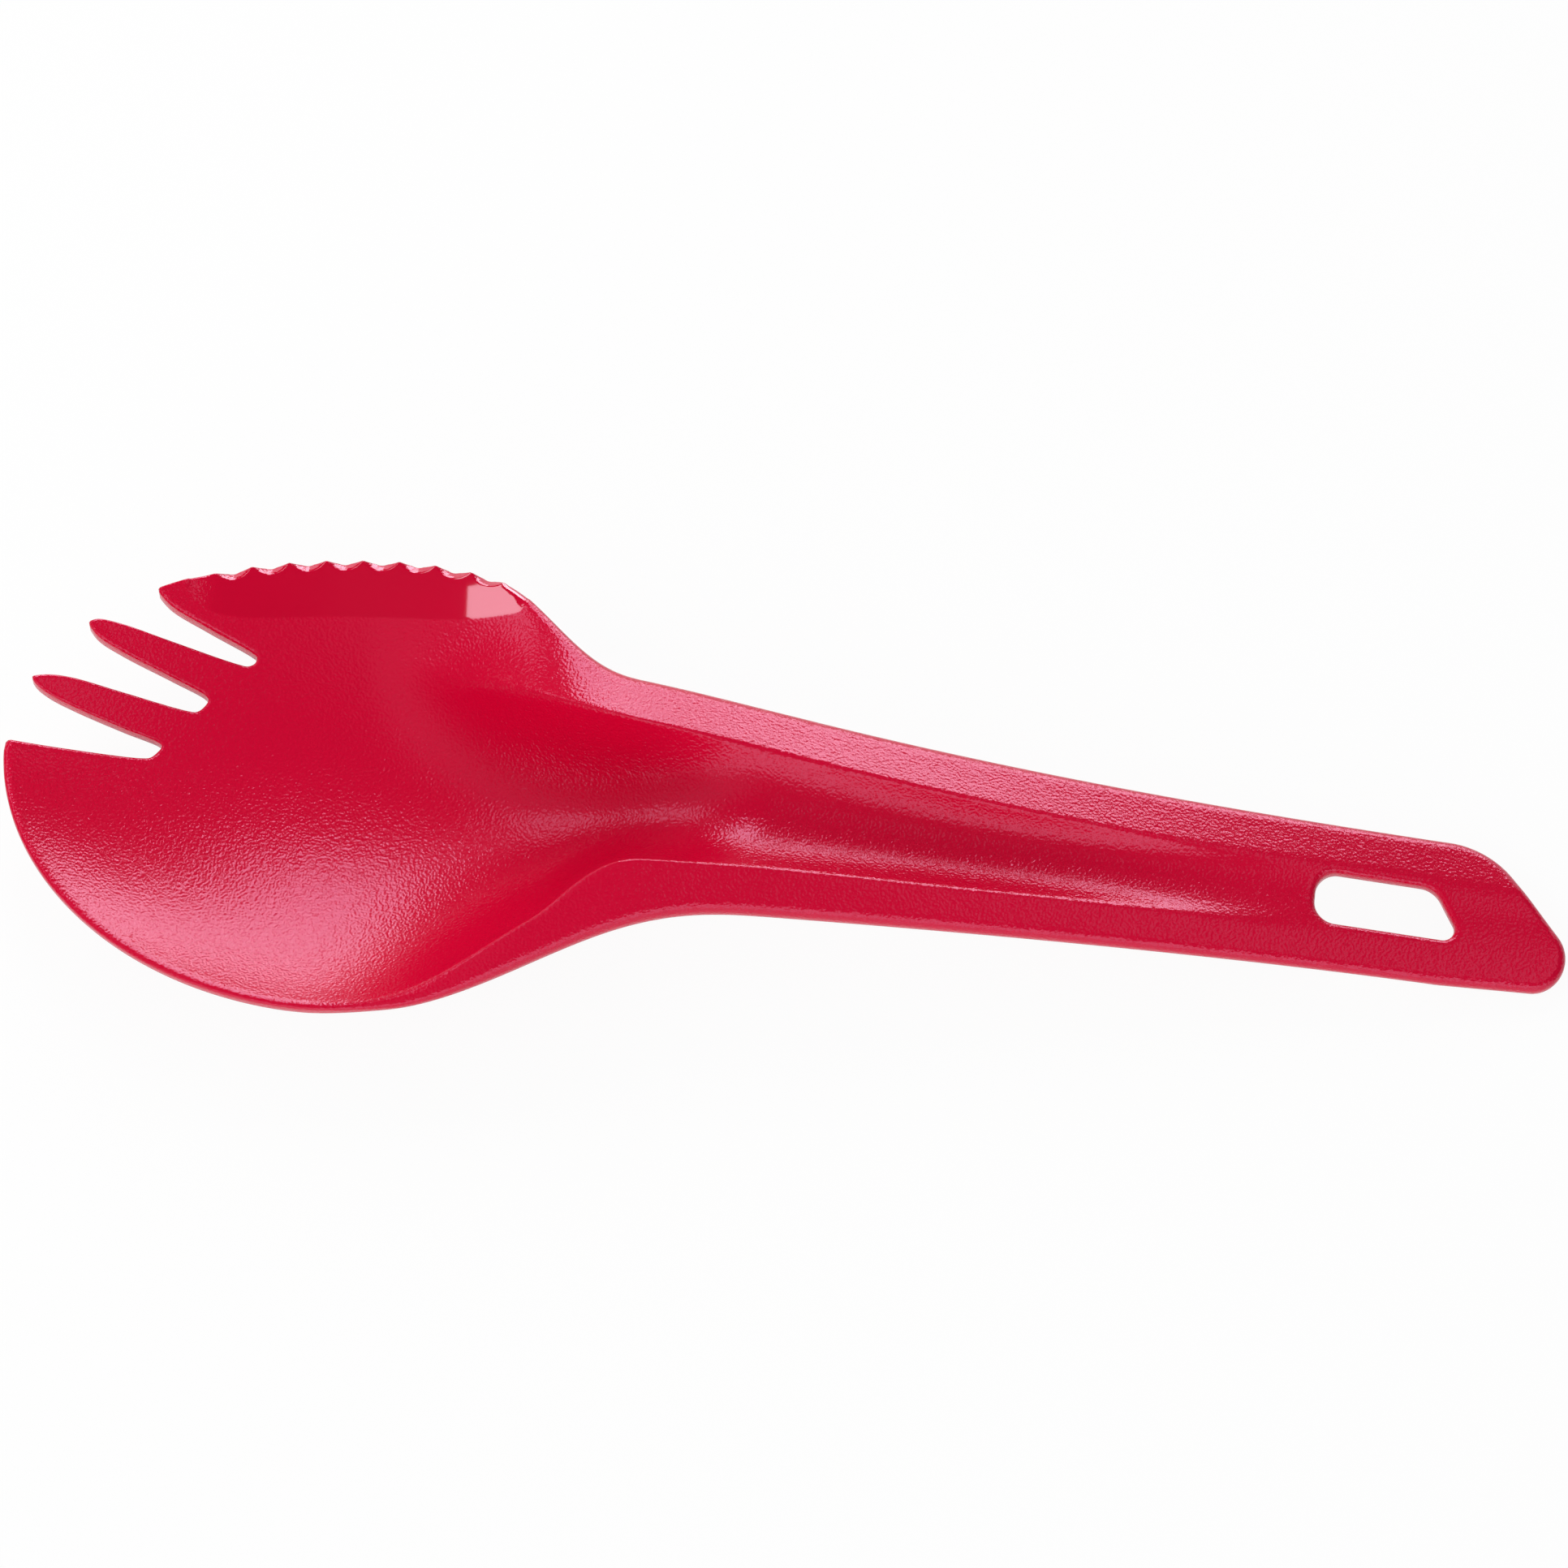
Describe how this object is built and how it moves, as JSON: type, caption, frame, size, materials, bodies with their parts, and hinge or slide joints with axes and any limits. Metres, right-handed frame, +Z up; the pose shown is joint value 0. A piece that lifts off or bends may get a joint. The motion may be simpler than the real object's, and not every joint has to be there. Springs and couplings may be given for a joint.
{
  "type": "spork",
  "caption": "One-piece moulded camping spork: spoon bowl with slanted tine row, serrated cutting edge on one side, ribbed channel handle with a hang hole.",
  "frame": {"origin": "centre of the bounding box at its underside, on the plane that the bowl and the handle's end rest on", "axes": "+X from the tines along the handle to its end, +Y towards the serrated side, +Z up out of the bowl"},
  "size_m": [0.1599, 0.0488, 0.018],
  "materials": {
    "red_plastic": "fine spark-eroded grain all over, with one smooth glossy ground land behind the serrations"
  },
  "bodies": {
    "root": {"spork": "red_plastic"}
  },
  "joints": []
}
